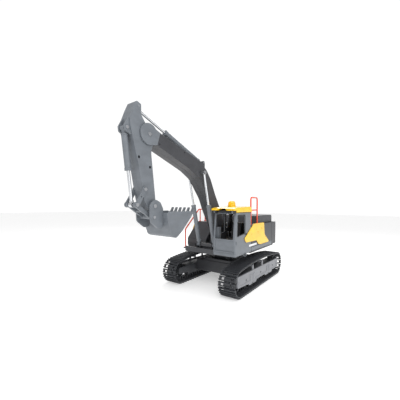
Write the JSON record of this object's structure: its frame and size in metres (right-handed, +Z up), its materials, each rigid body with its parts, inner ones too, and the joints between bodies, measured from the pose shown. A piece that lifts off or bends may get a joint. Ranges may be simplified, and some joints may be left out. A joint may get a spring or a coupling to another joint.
{
  "type": "toy excavator",
  "caption": "Hand-moved toy crawler excavator with a slewing upper body, jointed boom, stick and bucket, dummy hydraulic cylinders, open cab, handrails and beacon",
  "frame": {"origin": "on the ground, at the middle of the whole box seen from above, in the pictured pose", "axes": "+X runs from the counterweight towards the bucket, +Y to the cab's side (the machine's left), +Z up"},
  "size_m": [0.5148, 0.208, 0.3804],
  "materials": {
    "dark_body": "satin anthracite moulded body plastic",
    "light_grey": "satin light grey moulded plastic",
    "mid_grey": "satin mid grey moulded plastic",
    "track_black": "matt black moulded plastic",
    "yellow": "glossy warm yellow moulded plastic",
    "rail_orange": "glossy orange-red moulded plastic",
    "silver_rod": "bright plated rod",
    "steel_pin": "bright steel pins",
    "screw_dark": "blackened self-tapping screws",
    "interior_dark": "matt black inner trim",
    "lens_amber": "clear amber-yellow beacon lens",
    "label_white": "blank white label"
  },
  "bodies": {
    "undercarriage": {"track_links_left": "track_black", "track_links_right": "track_black", "track_pins": "steel_pin", "track_frame_left": "track_black", "track_frame_right": "track_black", "side_plate_left": "mid_grey", "side_plate_right": "mid_grey", "wheel_axles": "steel_pin", "side_plate_screws": "screw_dark", "carbody": "dark_body", "slew_ring_lower": "dark_body", "belly_cover": "dark_body"},
    "sprocket_left": {"sprocket_left": "track_black"},
    "sprocket_right": {"sprocket_right": "track_black"},
    "idler_left": {"idler_left": "track_black"},
    "idler_right": {"idler_right": "track_black"},
    "upper": {"turntable": "dark_body", "slew_retainer": "dark_body", "upper_screws": "screw_dark", "housing_left": "dark_body", "housing_right": "dark_body", "side_sill_left": "light_grey", "bulkhead": "dark_body", "engine_hood": "dark_body", "counterweight": "dark_body", "side_panels": "yellow", "label_plate": "label_white", "cab_shell": "light_grey", "cab_floor": "interior_dark", "driver_seat": "interior_dark", "console": "interior_dark", "cab_roof": "yellow", "roof_lamps": "interior_dark", "beacon_lens": "lens_amber", "handrail_left": "rail_orange", "handrail_right": "rail_orange", "step_right": "dark_body", "boom_foot_pin": "steel_pin"},
    "boom": {"boom_half_left": "dark_body", "boom_half_right": "dark_body", "boom_screws": "screw_dark", "boom_tip": "light_grey", "boom_pins": "steel_pin"},
    "stick": {"stick_half_left": "light_grey", "stick_half_right": "light_grey", "stick_screws": "screw_dark", "stick_pins": "steel_pin"},
    "bucket": {"bucket_shell": "light_grey", "bucket_pins": "steel_pin"},
    "rocker": {"rocker_plates": "light_grey", "link_pin": "steel_pin"},
    "h_link": {"h_link": "light_grey"},
    "boom_barrel_left": {"boom_barrel_left": "light_grey"},
    "boom_barrel_right": {"boom_barrel_right": "light_grey"},
    "boom_rod_left": {"boom_rod_left": "silver_rod"},
    "boom_rod_right": {"boom_rod_right": "silver_rod"},
    "arm_barrel": {"arm_barrel": "light_grey"},
    "arm_rod": {"arm_rod": "silver_rod"},
    "bucket_barrel": {"bucket_barrel": "light_grey"},
    "bucket_rod": {"bucket_rod": "silver_rod"}
  },
  "joints": [
    {"name": "sprocket_spin_left", "type": "hinge", "parent": "undercarriage", "child": "sprocket_left", "pos_m": [-0.22625, 0.0835, 0.0315], "axis": [0, 1, 0], "continuous": true},
    {"name": "idler_spin_left", "type": "hinge", "parent": "undercarriage", "child": "idler_left", "pos_m": [0.02235, 0.0835, 0.0315], "axis": [0, 1, 0], "continuous": true},
    {"name": "sprocket_spin_right", "type": "hinge", "parent": "undercarriage", "child": "sprocket_right", "pos_m": [-0.22625, -0.0835, 0.0315], "axis": [0, 1, 0], "continuous": true},
    {"name": "idler_spin_right", "type": "hinge", "parent": "undercarriage", "child": "idler_right", "pos_m": [0.02235, -0.0835, 0.0315], "axis": [0, 1, 0], "continuous": true},
    {"name": "slew", "type": "hinge", "parent": "undercarriage", "child": "upper", "pos_m": [-0.10195, 0, 0.0797], "axis": [0, 0, 1], "continuous": true},
    {"name": "boom_lift", "type": "hinge", "parent": "upper", "child": "boom", "pos_m": [-0.05795, 0, 0.12], "axis": [0, -1, 0], "range_deg": [-35, 5]},
    {"name": "stick_swing", "type": "hinge", "parent": "boom", "child": "stick", "pos_m": [0.20905, 0, 0.329], "axis": [0, -1, 0], "range_deg": [-12, 30]},
    {"name": "bucket_curl", "type": "hinge", "parent": "stick", "child": "bucket", "pos_m": [0.19805, 0, 0.201], "axis": [0, -1, 0], "range_deg": [0, 62]},
    {"name": "boom_rod_tilt_left", "type": "hinge", "parent": "boom", "child": "boom_rod_left", "pos_m": [0.05005, 0.0225, 0.278], "axis": [0, -1, 0], "range_deg": [-3.8, 0.59]},
    {"name": "boom_barrel_slide_left", "type": "slide", "parent": "boom_rod_left", "child": "boom_barrel_left", "axis": [-0.2608, 0, -0.9654], "range_m": [-0.03668, 0.00526]},
    {"name": "boom_rod_tilt_right", "type": "hinge", "parent": "boom", "child": "boom_rod_right", "pos_m": [0.05005, -0.0225, 0.278], "axis": [0, -1, 0], "range_deg": [-3.8, 0.59]},
    {"name": "boom_barrel_slide_right", "type": "slide", "parent": "boom_rod_right", "child": "boom_barrel_right", "axis": [-0.2608, 0, -0.9654], "range_m": [-0.03668, 0.00526]},
    {"name": "arm_barrel_tilt", "type": "hinge", "parent": "boom", "child": "arm_barrel", "pos_m": [0.03505, 0, 0.3045], "axis": [0, -1, 0], "range_deg": [-1.8, 4.42]},
    {"name": "arm_rod_slide", "type": "slide", "parent": "arm_barrel", "child": "arm_rod", "axis": [0.9425, 0, 0.3343], "range_m": [-0.02059, 0.00825]},
    {"name": "rocker_tilt", "type": "hinge", "parent": "stick", "child": "rocker", "pos_m": [0.21605, 0, 0.23], "axis": [0, -1, 0], "range_deg": [-0.05, 38.11]},
    {"name": "h_link_tilt", "type": "hinge", "parent": "rocker", "child": "h_link", "pos_m": [0.23305, 0, 0.203], "axis": [0, -1, 0], "range_deg": [-28.51, 0.05]},
    {"name": "bucket_rod_tilt", "type": "hinge", "parent": "rocker", "child": "bucket_rod", "pos_m": [0.23305, 0, 0.203], "axis": [0, -1, 0], "range_deg": [-32.39, 0.05]},
    {"name": "bucket_barrel_slide", "type": "slide", "parent": "bucket_rod", "child": "bucket_barrel", "axis": [0.1468, 0, 0.9892], "range_m": [-0.017, 0.00002]}
  ],
  "couplings": [
    {"joint": "idler_spin_left", "follows": "sprocket_spin_left", "ratio": 1},
    {"joint": "boom_rod_tilt_left", "follows": "boom_lift", "ratio": 0.10606},
    {"joint": "boom_barrel_slide_left", "follows": "boom_lift", "m_per_rad": 0.059416},
    {"joint": "idler_spin_right", "follows": "sprocket_spin_right", "ratio": 1},
    {"joint": "boom_rod_tilt_right", "follows": "boom_lift", "ratio": 0.10606},
    {"joint": "boom_barrel_slide_right", "follows": "boom_lift", "m_per_rad": 0.059416},
    {"joint": "arm_barrel_tilt", "follows": "stick_swing", "ratio": 0.14426},
    {"joint": "arm_rod_slide", "follows": "stick_swing", "m_per_rad": -0.03889},
    {"joint": "rocker_tilt", "follows": "bucket_curl", "ratio": 0.60782},
    {"joint": "h_link_tilt", "follows": "bucket_curl", "ratio": -0.45447},
    {"joint": "bucket_rod_tilt", "follows": "bucket_curl", "ratio": -0.51651},
    {"joint": "bucket_barrel_slide", "follows": "bucket_curl", "m_per_rad": -0.01554}
  ]
}
